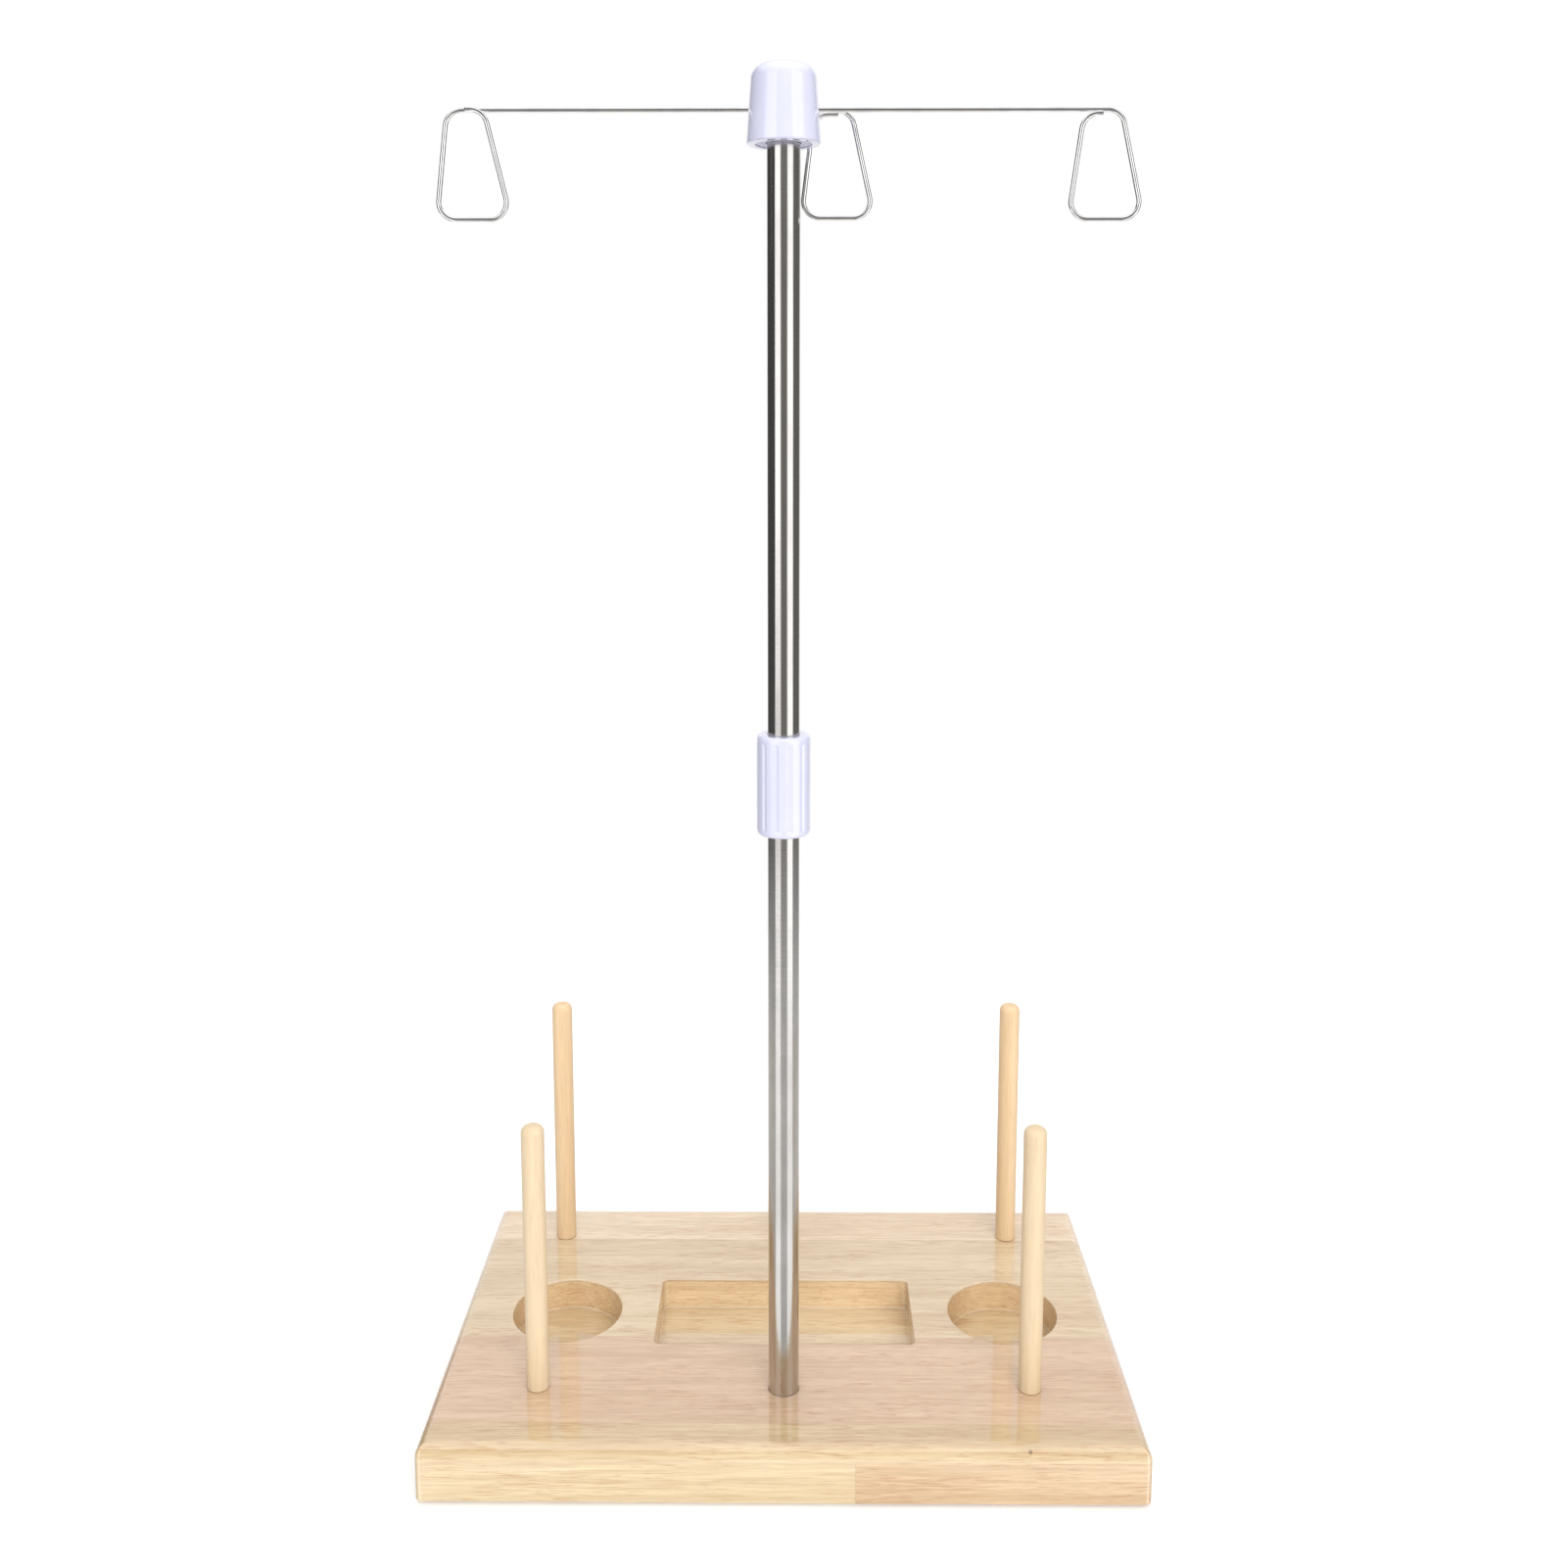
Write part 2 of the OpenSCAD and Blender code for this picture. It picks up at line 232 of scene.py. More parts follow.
def lathe(profile, centre, segments, closed=False, radial=None):
    """Turns (r, z) points about a vertical axis. An end point on the axis becomes one vertex.

    closed joins the last point to the first, and radial(r, z, angle) may move a point in or out.
    """
    verts, rings = [], []
    for r, z in profile:
        if r < ON_AXIS:
            rings.append([len(verts)])
            verts.append((centre.x, centre.y, z))
            continue
        ring = []
        for k in range(segments):
            angle = TAU * k / segments
            distance = radial(r, z, angle) if radial else r
            across, back = distance * math.cos(angle), distance * math.sin(angle)
            ring.append(len(verts))
            verts.append((centre.x + across, centre.y + back, z))
        rings.append(ring)
    faces = []
    pairs = list(zip(rings, rings[1:]))
    if closed:
        pairs.append((rings[-1], rings[0]))
    for low, high in pairs:
        for k in range(segments):
            following = (k + 1) % segments
            if len(low) == 1:
                faces.append((low[0], high[following], high[k]))
            elif len(high) == 1:
                faces.append((low[k], low[following], high[0]))
            else:
                faces.append((low[k], low[following], high[following], high[k]))
    return verts, faces


def middle_of(node):
    low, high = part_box(node)
    return (low + high) / 2


# ---------------------------------------------------------------- materials

LIGHT_WOOD = (0.69, 0.535, 0.365)
DARK_WOOD = (0.56, 0.40, 0.25)
PORE_BROWN = (0.47, 0.25, 0.12)


def tinted(nodes, where, colour, tint):
    """colour multiplied by tint, as far as where says."""
    return nodes.mix(where, colour, nodes.mix(1.0, colour, tint, blend="MULTIPLY"))


def blended(nodes, where, strength, colour, other):
    """colour mixed towards other, at most by strength."""
    return nodes.mix(nodes.math("MULTIPLY", where, strength), colour, other)


def wood_figure(nodes, along, across_a, across_b, pores_shown=0.5):
    """Colour, bump height and tone of wood whose fibres run along the first coordinate."""
    fibre = nodes.join(along, across_a, across_b)
    streaks = nodes.noise(fibre, (34, 1.6, 1.1), detail=5, roughness=0.66, distortion=0.2)
    bands = nodes.noise(fibre, (170, 11, 11), detail=3, roughness=0.5, distortion=0.7)
    fine = nodes.noise(fibre, (9, 0.72, 0.38), detail=2, roughness=0.6)
    clusters = nodes.noise(fibre, (48, 7, 7), detail=2)
    pores = nodes.ramp(nodes.math("ADD", fine, nodes.math("MULTIPLY", clusters, 0.5)), 0.82, 0.94)
    tone = nodes.math("ADD", nodes.math("MULTIPLY", streaks, 0.55), nodes.math("MULTIPLY", bands, 0.45))
    colour = nodes.mix(nodes.ramp(tone, 0.37, 0.63), LIGHT_WOOD, DARK_WOOD)
    grain = nodes.ramp(fine, 0.3, 0.7, 1.05, 0.93)
    colour = nodes.mix(1.0, colour, nodes.grey(grain), blend="MULTIPLY")
    colour = blended(nodes, pores, pores_shown, colour, PORE_BROWN)
    height = nodes.math("SUBTRACT", nodes.math("MULTIPLY", fine, 0.4), pores)
    return colour, height, tone


def end_grain_where(nodes, axis, start):
    """1 where the surface faces along the axis of the fibres, 0 beside them."""
    normal = nodes.add("ShaderNodeNewGeometry").outputs["True Normal"]
    return nodes.ramp(nodes.math("ABSOLUTE", nodes.split(normal)[axis]), start, 0.95)


PINS = ("front_left_pin", "front_right_pin", "rear_left_pin", "rear_centre_pin", "rear_right_pin")

STAVE_JOINTS = (15, 70, 146)  # behind the board's front edge
STAVE_SEEDS = (1.0, 1.7, 2.3)  # what crossing each joint adds to the seed of the grain
END_JOINT_X = 27.0  # where the two lengths of the front stave meet
END_JOINT_UNDER = 5.0  # below the top: their joint shows only under the rounded-over edge
END_JOINT_SEED = 0.6
GRAIN_SHIFT = (613.0, 97.0)  # along and across the fibres, for a seed of 1
FRONT_TINT = (1.065, 1.10, 1.025)
END_JOINT_TINT = (0.945, 0.865, 0.86)
# Painted shade that makes the front stave's top and rounded-over edge darker than its front face.
FRONT_TOP_PAINTED_SHADE = (0.84, 0.79, 0.73)
FRONT_TOP_SHADE_FADE = (3.5, 0.3)  # below the top, where that painted shade begins and is full
STAVE_TINTS = ((0.915, 0.835, 0.815), (0.97, 0.985, 0.95), (1.105, 1.135, 1.18))
GLUE_BROWN = (0.42, 0.29, 0.17)
GLUE_LINE = (0.08, 0.3)  # off its middle, where a glue line stops being full and where it ends

RECESS_MARGIN = 12.0  # what is further in from the sides than this
RECESS_UNDER = 1.0  # and further below the top than this is inside a recess
CUPS_BEYOND_X = 60.0  # the round recesses lie further out than this, the tray nearer
FLOORS_UNDER = 12.8  # below the top, and just above the recesses' floors
# Painted light that pales the recesses, and painted shade that browns the cups and darkens the recess
# floors.
RECESS_PAINTED_LIGHT = (1.27, 1.25, 1.19)
CUP_PAINTED_SHADE = (0.90, 0.86, 0.79)
FLOOR_PAINTED_SHADE = (0.80, 0.81, 0.83)

# Painted shade in a thin ring where the dowels and the pole meet the board.
PIN_SHADE = (4.5, 5.4)  # radii at which the painted shade round a dowel begins and ends
POLE_SHADE = (6.0, 6.9)
RING_PAINTED_SHADE = (0.36, 0.22, 0.12)
END_GRAIN_BROWN = (0.42, 0.27, 0.15)
PITH_DEPTH = 34.0  # the growth rings curve about a pith this far below the resting surface
PITH_SHIFT = 19.0  # sideways, for a seed of 1
PITH_WAVER = 7.0  # how far the rings wander
KNOT_X = 92.0
KNOT_IN = 1.6  # behind the front edge and below the top
KNOT_BROWN = (0.14, 0.07, 0.03)


def stave_pattern(nodes, place, joints, top):
    """Masks of the board's pieces of wood, and a seed that gives each its own grain.

    The masks are: behind each joint, the first stave, its front face, and that face's second length.
    """
    x, y, z = nodes.split(place)
    behind = [nodes.math("GREATER_THAN", y, joint) for joint in joints]
    first = nodes.math("SUBTRACT", 1.0, behind[0])
    face = nodes.math("MULTIPLY", nodes.math("LESS_THAN", z, top - END_JOINT_UNDER), first)
    end_joint = nodes.math("MULTIPLY", nodes.math("GREATER_THAN", x, END_JOINT_X), face)
    seed = nodes.math("MULTIPLY", end_joint, END_JOINT_SEED)
    for where, step in zip(behind, STAVE_SEEDS):
        seed = nodes.math("ADD", seed, nodes.math("MULTIPLY", where, step))
    return behind, first, face, end_joint, seed


def line_at(nodes, value, middle):
    """1 on a glue line where value is middle, fading to 0 beside it."""
    off = nodes.math("ABSOLUTE", nodes.math("SUBTRACT", value, middle))
    return nodes.ramp(off, *GLUE_LINE, 1.0, 0.0)


def recess_shading_and_marks(nodes, colour, place, half_x, half_y, top):
    """Painted light that makes the recesses paler, painted shade that makes the cups browner and the floors
    darker, and milling marks on the walls.
    """
    x, y, z = nodes.split(place)
    inside = nodes.math("LESS_THAN", z, top - RECESS_UNDER)
    for value, half in ((x, half_x), (y, half_y)):
        within = nodes.math("LESS_THAN", nodes.math("ABSOLUTE", value), half - RECESS_MARGIN)
        inside = nodes.math("MULTIPLY", inside, within)
    outer = nodes.math("GREATER_THAN", nodes.math("ABSOLUTE", x), CUPS_BEYOND_X)
    cups = nodes.math("MULTIPLY", inside, outer)
    floors = nodes.math("MULTIPLY", inside, nodes.math("LESS_THAN", z, top - FLOORS_UNDER))
    # Painted light and shade: paler inside the recesses, browner in the cups, darker on the floors.
    for where, tint in ((inside, RECESS_PAINTED_LIGHT), (cups, CUP_PAINTED_SHADE), (floors, FLOOR_PAINTED_SHADE)):
        colour = tinted(nodes, where, colour, tint)
    chatter = nodes.ramp(nodes.noise(place, (3.4, 3.4, 1.6), detail=3, roughness=0.7), 0.52, 0.68)
    walls = nodes.math("SUBTRACT", inside, floors)
    return blended(nodes, nodes.math("MULTIPLY", chatter, walls), 0.3, colour, PORE_BROWN)


def shade_rings(nodes, place, centres, inner, outer):
    """Painted shade round each hole: 1 next to its edge, fading to 0 at outer millimetres from its centre.
    """
    marks_and_shade = 0.0
    x, y, _ = nodes.split(place)
    flat = nodes.join(x, y, 0.0)
    for centre in centres:
        distance = nodes.vector("DISTANCE", flat, (centre.x / MM, centre.y / MM, 0.0))
        marks_and_shade = nodes.math("ADD", marks_and_shade, nodes.ramp(distance, inner, outer, 1.0, 0.0))
    return marks_and_shade


def end_grain_colour(nodes, colour, place, seed, end_grain):
    """Darker sawn ends with growth rings."""
    _, y, z = nodes.split(place)
    colour = blended(nodes, end_grain, 0.28, colour, END_GRAIN_BROWN)
    shift = nodes.math("ADD", y, nodes.math("MULTIPLY", seed, PITH_SHIFT))
    radius = nodes.vector("LENGTH", nodes.join(0.0, shift, nodes.math("ADD", z, PITH_DEPTH)))
    waver = nodes.math("MULTIPLY", nodes.noise(place, (60, 14, 14), detail=2), PITH_WAVER)
    rings = nodes.noise(nodes.join(nodes.math("ADD", radius, waver), 0.0, 0.0), (1.1, 1, 1), detail=2)
    rings = nodes.math("MULTIPLY", nodes.ramp(rings, 0.46, 0.62), end_grain)
    return blended(nodes, rings, 0.3, colour, PORE_BROWN)


def board_wood():
    """Edge-glued staves of pale hardwood under clear gloss lacquer."""
    material, nodes = new_material("board_wood")
    low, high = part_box("base_board")
    front, top = low.y / MM, high.z / MM
    place = nodes.place()
    x, y, z = nodes.split(place)
    joints = [front + joint for joint in STAVE_JOINTS]
    behind, first, face, end_joint, seed = stave_pattern(nodes, place, joints, top)
    along = nodes.math("ADD", x, nodes.math("MULTIPLY", seed, GRAIN_SHIFT[0]))
    across = nodes.math("ADD", y, nodes.math("MULTIPLY", seed, GRAIN_SHIFT[1]))
    colour, height, tone = wood_figure(nodes, along, across, z)

    fade_from, fade_to = FRONT_TOP_SHADE_FADE
    # Painted shade on the front stave's top and rounded-over edge.
    front_stave_top_shade = nodes.math("MULTIPLY", nodes.ramp(z, top - fade_from, top - fade_to), first)
    staves = [nodes.math("SUBTRACT", near, far) for near, far in zip(behind, behind[1:])]
    tints = [(first, FRONT_TINT), (end_joint, END_JOINT_TINT), (front_stave_top_shade, FRONT_TOP_PAINTED_SHADE)]
    tints += zip(staves + behind[-1:], STAVE_TINTS)
    for where, tint in tints:
        colour = tinted(nodes, where, colour, tint)
    glue = 0.0
    for joint in joints:
        glue = nodes.math("ADD", glue, line_at(nodes, y, joint))
    end_line = nodes.math("MULTIPLY", line_at(nodes, x, END_JOINT_X), face)
    glue = nodes.math("ADD", glue, end_line, clamp=True)
    colour = blended(nodes, glue, 0.25, colour, GLUE_BROWN)
    colour = recess_shading_and_marks(nodes, colour, place, high.x / MM, high.y / MM, top)

    # Painted shade in a thin ring where each dowel and the pole meet the board.
    marks_and_shade = shade_rings(nodes, place, [middle_of(pin) for pin in PINS], *PIN_SHADE)
    pole_shade = shade_rings(nodes, place, [middle_of("lower_tube")], *POLE_SHADE)
    marks_and_shade = nodes.math("ADD", marks_and_shade, pole_shade, clamp=True)
    colour = blended(nodes, marks_and_shade, 0.15, colour, RING_PAINTED_SHADE)
    end_grain = end_grain_where(nodes, 0, 0.5)
    colour = end_grain_colour(nodes, colour, place, seed, end_grain)
    knot = nodes.vector("DISTANCE", place, (KNOT_X, front + KNOT_IN, top - KNOT_IN))
    colour = nodes.mix(nodes.ramp(knot, 0.4, 1.1, 0.75, 0.0), colour, KNOT_BROWN)

    wear = nodes.ramp(nodes.noise(place, (35, 35, 35), detail=4), 0.35, 0.7, 0.30, 0.42)
    roughness = nodes.math("ADD", wear, nodes.math("MULTIPLY", end_grain, 0.12))
    bump = nodes.bump(nodes.math("ADD", height, nodes.math("MULTIPLY", tone, 0.4)), 0.25, 0.05)
    lacquer = {"Coat_Weight": 1.0, "Coat_Roughness": 0.05, "Coat_IOR": 2.0}
    return finish_material(material, nodes, colour, roughness, bump, **lacquer)


DOWEL_CREAM = (0.755, 0.62, 0.41)
REAR_DOWEL_TINT = (1.05, 0.965, 0.88)
DOWEL_END_BROWN = (0.62, 0.47, 0.30)


def dowel_wood():
    """Bare, finely sanded dowel with its fibres upright, a little redder in the rear row."""
    material, nodes = new_material("dowel_wood")
    x, y, z = nodes.split(nodes.place())
    colour, height, tone = wood_figure(nodes, z, x, y, pores_shown=0.22)
    colour = nodes.mix(0.5, colour, DOWEL_CREAM)
    rear = nodes.ramp(y, -10.0, 10.0)
    colour = tinted(nodes, rear, colour, REAR_DOWEL_TINT)
    end_grain = end_grain_where(nodes, 2, 0.4)
    colour = blended(nodes, end_grain, 0.3, colour, DOWEL_END_BROWN)
    roughness = nodes.ramp(tone, 0.3, 0.7, 0.42, 0.55)
    bump = nodes.bump(height, 0.35, 0.06)
    satin = {"Coat_Weight": 0.15, "Coat_Roughness": 0.25}
    return finish_material(material, nodes, colour, roughness, bump, **satin)


def tube_steel():
    """Stainless steel tube, polished round and round, which draws its reflections out along it."""
    material, nodes = new_material("tube_steel")
    place = nodes.place()
    turned = nodes.noise(place, (30, 30, 0.16), detail=1)
    lines = nodes.noise(place, (0.6, 0.6, 45), detail=3)
    smears = nodes.noise(place, (9, 9, 26), detail=4)
    colour = nodes.mix(nodes.ramp(smears, 0.3, 0.75), (0.62, 0.605, 0.585), (0.54, 0.525, 0.505))
    roughness = nodes.ramp(smears, 0.35, 0.75, 0.07, 0.14)
    roughness = nodes.math("ADD", roughness, nodes.math("MULTIPLY", lines, 0.06))
    height = nodes.math("ADD", turned, nodes.math("MULTIPLY", lines, 0.5))
    bump = nodes.bump(height, 0.7, 0.02)
    return finish_material(material, nodes, colour, roughness, bump, Metallic=1.0)


def wire_steel():
    """Bright drawn wire with fine die marks and small dull patches."""
    material, nodes = new_material("wire_steel")
    place = nodes.place()
    marks_and_shade = nodes.noise(place, (1.8, 0.5, 1.8), detail=3)
    dull = nodes.noise(place, (6, 6, 6), detail=3)
    colour = nodes.mix(nodes.ramp(dull, 0.35, 0.75), (0.87, 0.87, 0.87), (0.76, 0.76, 0.765))
    roughness = nodes.ramp(dull, 0.35, 0.75, 0.04, 0.09)
    bump = nodes.bump(marks_and_shade, 0.1, 0.004)
    return finish_material(material, nodes, colour, roughness, bump, Metallic=1.0)


def white_plastic(name, gloss):
    """Moulded plastic with a faint lavender cast; gloss is 1 for a show face and 0 where it is hidden."""
    material, nodes = new_material(name)
    place = nodes.place()
    cloud = nodes.noise(place, (11, 11, 14), detail=3)
    peel = nodes.noise(place, (1.3, 1.3, 1.3), detail=2)
    scuffs = nodes.noise(place, (3, 3, 0.4), detail=4, roughness=0.7)
    colour = nodes.mix(nodes.ramp(cloud, 0.3, 0.7), (0.625, 0.63, 0.785), (0.605, 0.61, 0.765))
    scuffed = nodes.ramp(scuffs, 0.6, 0.75, 0.0, 0.12)
    roughness = nodes.math("ADD", nodes.ramp(cloud, 0.3, 0.7, 0.16, 0.24), scuffed)
    roughness = nodes.math("ADD", roughness, 0.4 * (1 - gloss))
    bump = nodes.bump(peel, 0.12, 0.03)
    polish = {"Coat_Weight": 0.8 * gloss, "Coat_Roughness": 0.04}
    return finish_material(material, nodes, colour, roughness, bump, **polish)


def inner_plastic():
    """Plain moulded plastic with flow marks."""
    material, nodes = new_material("inner_plastic")
    place = nodes.place()
    flow = nodes.noise(place, (14, 14, 5), detail=4, distortion=0.6)
    grit = nodes.noise(place, (0.6, 0.6, 0.6), detail=2)
    colour = nodes.mix(nodes.ramp(flow, 0.3, 0.7), (0.66, 0.66, 0.71), (0.56, 0.56, 0.61))
    roughness = nodes.ramp(flow, 0.3, 0.7, 0.42, 0.55)
    return finish_material(material, nodes, colour, roughness, nodes.bump(grit, 0.2, 0.03))


def zinc_steel():
    """Zinc-plated screw and washer, spangled and a little scuffed."""
    material, nodes = new_material("zinc_steel")
    place = nodes.place()
    cells = nodes.add("ShaderNodeTexVoronoi")
    nodes.link(place, cells.inputs["Vector"])
    cells.inputs["Scale"].default_value = 0.9
    spangle = nodes.split(cells.outputs["Color"])[0]
    scuffs = nodes.noise(place, (0.4, 4, 4), detail=4)
    colour = nodes.mix(spangle, (0.60, 0.62, 0.65), (0.70, 0.71, 0.72))
    roughness = nodes.ramp(scuffs, 0.35, 0.7, 0.28, 0.45)
    bump = nodes.bump(scuffs, 0.2, 0.02)
    return finish_material(material, nodes, colour, roughness, bump, Metallic=1.0)


def pad_rubber():
    """Dark foam rubber, fine-celled, with a little dust."""
    material, nodes = new_material("pad_rubber")
    place = nodes.place()
    cells = nodes.noise(place, (0.5, 0.5, 0.5), detail=3)
    dust = nodes.noise(place, (5, 5, 5), detail=4)
    colour = nodes.mix(nodes.ramp(dust, 0.45, 0.8), (0.035, 0.035, 0.038), (0.09, 0.088, 0.085))
    roughness = nodes.ramp(cells, 0.3, 0.7, 0.75, 0.92)
    return finish_material(material, nodes, colour, roughness, nodes.bump(cells, 0.6, 0.1))


# ---------------------------------------------------------------- board

BOARD_EDGE_R = 5 * MM
BOARD_CORNER_R = 2.5 * MM
BOARD_MITRE_R = 0.9 * MM  # what sanding leaves of the corner on the rounded-over edge
BOARD_FOOT_R = 0.6 * MM
CORNER_STEPS = 8
RECESS_DEPTH = 13 * MM
CUP_R = 23 * MM
CUP_X = 93 * MM
RECESS_Y = 1.5 * MM
TRAY_SIZE = (108 * MM, 47 * MM)
TRAY_CORNER_R = 2.5 * MM
LIP_R = 0.7 * MM
FLOOR_R = 0.6 * MM
HOLE_LIP = ((0.2 * MM, 0), (0.06 * MM, 0.06 * MM), (0, 0.2 * MM))  # (wider, below the top)
PIN_HOLE_R = 3.55 * MM
PIN_HOLE_DEPTH = 15 * MM
SOCKET_R = 6.05 * MM
SOCKET_DEPTH = 13 * MM
SCREW_HOLE_R = 2.75 * MM
COUNTERBORE_R = 8 * MM
COUNTERBORE_DEPTH = 4.5 * MM
COUNTERBORE_CHAMFER = 0.4 * MM
CUP_SIDES = 96
PIN_HOLE_SIDES = 48
SOCKET_SIDES = 64


def rounded_rectangle(centre, half_x, half_y, radius, z):
    """One loop, counter-clockwise from above, with the same number of points whatever the radius."""
    loop = []
    for quarter, (sx, sy) in enumerate(((1, 1), (-1, 1), (-1, -1), (1, -1))):
        for i in range(CORNER_STEPS + 1):
            angle = math.pi / 2 * (quarter + i / CORNER_STEPS)
            x = centre.x + sx * (half_x - radius) + radius * math.cos(angle)
            y = centre.y + sy * (half_y - radius) + radius * math.sin(angle)
            loop.append(Vector((x, y, z)))
    return loop


def circle(centre, radius, z, count):
    """One loop, counter-clockwise from above."""
    loop = []
    for k in range(count):
        angle = TAU * k / count
        loop.append(Vector((centre.x + radius * math.cos(angle), centre.y + radius * math.sin(angle), z)))
    return loop


def quarter_round(steps):
    """(1 - sine, 1 - cosine) from 0 to 90 degrees, which draw a rounded edge."""
    angles = [math.pi / 2 * i / steps for i in range(steps + 1)]
    return [(1 - math.sin(angle), 1 - math.cos(angle)) for angle in angles]


NO_AREA = 1e-14  # square metres


class Shell:
    """Vertices and faces of a solid built from loops."""

    def __init__(self):
        self.verts, self.faces = [], []

    def loop(self, points):
        start = len(self.verts)
        self.verts.extend(points)
        return list(range(start, len(self.verts)))

    def bridge(self, first, second):
        count = len(first)
        for k in range(count):
            following = (k + 1) % count
            self.faces.append((first[k], first[following], second[following], second[k]))

    def wall(self, loops):
        """Bridges each loop to the next and returns the last."""
        for first, second in zip(loops, loops[1:]):
            self.bridge(first, second)
        return loops[-1]

    def plane(self, outer, holes, up):
        """Flat face with holes in it."""
        rings = [outer] + holes
        points = [[self.verts[i] for i in ring] for ring in rings]
        indices = [i for ring in rings for i in ring]
        for a, b, c in tessellate_polygon(points):
            a, b, c = indices[a], indices[b], indices[c]
            normal = (self.verts[b] - self.verts[a]).cross(self.verts[c] - self.verts[a])
            if abs(normal.z) < NO_AREA:
                continue
            self.faces.append((a, b, c) if (normal.z > 0) == up else (a, c, b))


def cut_recess(shell, ring, top, floor):
    """Flat-floored recess with a rounded lip and foot; ring(grow, z) gives one loop. Returns its rim."""
    loops = [shell.loop(ring(LIP_R * out, top - LIP_R * down)) for out, down in quarter_round(4)]
    loops += [shell.loop(ring(-FLOOR_R * away, floor + FLOOR_R * up)) for up, away in quarter_round(4)]
    shell.plane(shell.wall(loops), [], up=True)
    return loops[0]


def build_board(material):
    low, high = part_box("base_board")
    centre = (low + high) / 2
    half = (high - low) / 2
    pole = middle_of("lower_tube")
    shell = Shell()

    def outline(inset, z):
        radius = max(BOARD_CORNER_R - inset, BOARD_MITRE_R)
        return shell.loop(rounded_rectangle(centre, half.x - inset, half.y - inset, radius, z))

    sides = [outline(BOARD_FOOT_R * out, low.z + BOARD_FOOT_R * up) for out, up in quarter_round(3)]
    edge = BOARD_EDGE_R
    sides += [outline(edge * out, high.z - edge * down) for down, out in quarter_round(10)]
    shell.wall(sides)

    floor = high.z - RECESS_DEPTH

    def left_cup(grow, z):
        return circle(Vector((-CUP_X, RECESS_Y, 0)), CUP_R + grow, z, CUP_SIDES)

    def right_cup(grow, z):
        return circle(Vector((CUP_X, RECESS_Y, 0)), CUP_R + grow, z, CUP_SIDES)

    def tray(grow, z):
        half_x, half_y = TRAY_SIZE[0] / 2 + grow, TRAY_SIZE[1] / 2 + grow
        return rounded_rectangle(Vector((0, RECESS_Y, 0)), half_x, half_y, TRAY_CORNER_R + grow, z)

    holes = [cut_recess(shell, ring, high.z, floor) for ring in (left_cup, right_cup, tray)]

    for pin in PINS:
        steps = HOLE_LIP + ((0, PIN_HOLE_DEPTH),)
        spot = middle_of(pin)
        loops = [
            shell.loop(circle(spot, PIN_HOLE_R + wider, high.z - down, PIN_HOLE_SIDES))
            for wider, down in steps
        ]
        holes.append(loops[0])
        shell.plane(shell.wall(loops), [], up=True)

    foot = low.z + COUNTERBORE_DEPTH
    steps = [(SOCKET_R + wider, high.z - down) for wider, down in HOLE_LIP]
    steps += [(SOCKET_R, high.z - SOCKET_DEPTH), (SCREW_HOLE_R, high.z - SOCKET_DEPTH)]
    steps += [(SCREW_HOLE_R, foot), (COUNTERBORE_R, foot)]
    steps += [(COUNTERBORE_R, low.z + COUNTERBORE_CHAMFER), (COUNTERBORE_R + COUNTERBORE_CHAMFER, low.z)]
    loops = [shell.loop(circle(pole, radius, z, SOCKET_SIDES)) for radius, z in steps]
    holes.append(loops[0])
    shell.wall(loops)

    shell.plane(sides[-1], holes, up=True)
    shell.plane(sides[0], [loops[-1]], up=False)
    return new_piece("board", shell.verts, shell.faces, material, "base", "base_board")


# ---------------------------------------------------------------- turned pieces

TENON_R = 3.5 * MM
TENON_CHAMFER = 0.6 * MM
PIN_SEAT_GAP = 0.1 * MM
PIN_SEAT_R = 0.3 * MM
PIN_TIP_R = 3 * MM
PIN_SIDES = 64


def build_pin(node, material):
    low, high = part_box(node)
    radius = (high.x - low.x) / 2
    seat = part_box("base_board")[1].z + PIN_SEAT_GAP
    chamfer, foot = TENON_CHAMFER, PIN_SEAT_R
    profile = [(0, low.z), (TENON_R - chamfer, low.z), (TENON_R, low.z + chamfer), (TENON_R, seat)]
    profile += arc(radius - foot, seat + foot, foot, -90, 0, 3)
    profile += [(radius, seat + (high.z - PIN_TIP_R - seat) * i / 4) for i in range(1, 4)]
    profile += arc(radius - PIN_TIP_R, high.z - PIN_TIP_R, PIN_TIP_R, 0, 90, 10)
    profile += [(0, high.z)]
    verts, faces = lathe(profile, (low + high) / 2, PIN_SIDES)
    return new_piece(node + "_dowel", verts, faces, material, node, node)


TUBE_WALL = 1 * MM
TUBE_LIP_R = 0.25 * MM
TUBE_SIDES = 96


def build_tube(node, material, body):
    low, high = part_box(node)
    outer = (high.x - low.x) / 2
    inner = outer - TUBE_WALL
    lip = TUBE_LIP_R
    profile = arc(outer - lip, low.z + lip, lip, -90, 0, 3)
    profile += arc(outer - lip, high.z - lip, lip, 0, 90, 3)
    profile += arc(inner + lip, high.z - lip, lip, 90, 180, 3)
    profile += arc(inner + lip, low.z + lip, lip, 180, 270, 3)
    verts, faces = lathe(profile, (low + high) / 2, TUBE_SIDES, closed=True)
    return new_piece(node + "_steel", verts, faces, material, body, node)


COLLAR_EDGE_R = 1.5 * MM
COLLAR_BORE_R = 6.05 * MM
COLLAR_MOUTH_R = 0.3 * MM
COLLAR_STOP = 1 * MM  # half the height of the ledge between the tubes, and how far it stands in
GROOVES = 12
GROOVE_SIDES = 24
GROOVE_DEPTH = 0.45 * MM
GROOVE_HALF_WIDTH = 1.15 * MM
GROOVE_END = 2.5 * MM  # from the collar's end to where the groove starts
GROOVE_RUNOUT = 0.9 * MM


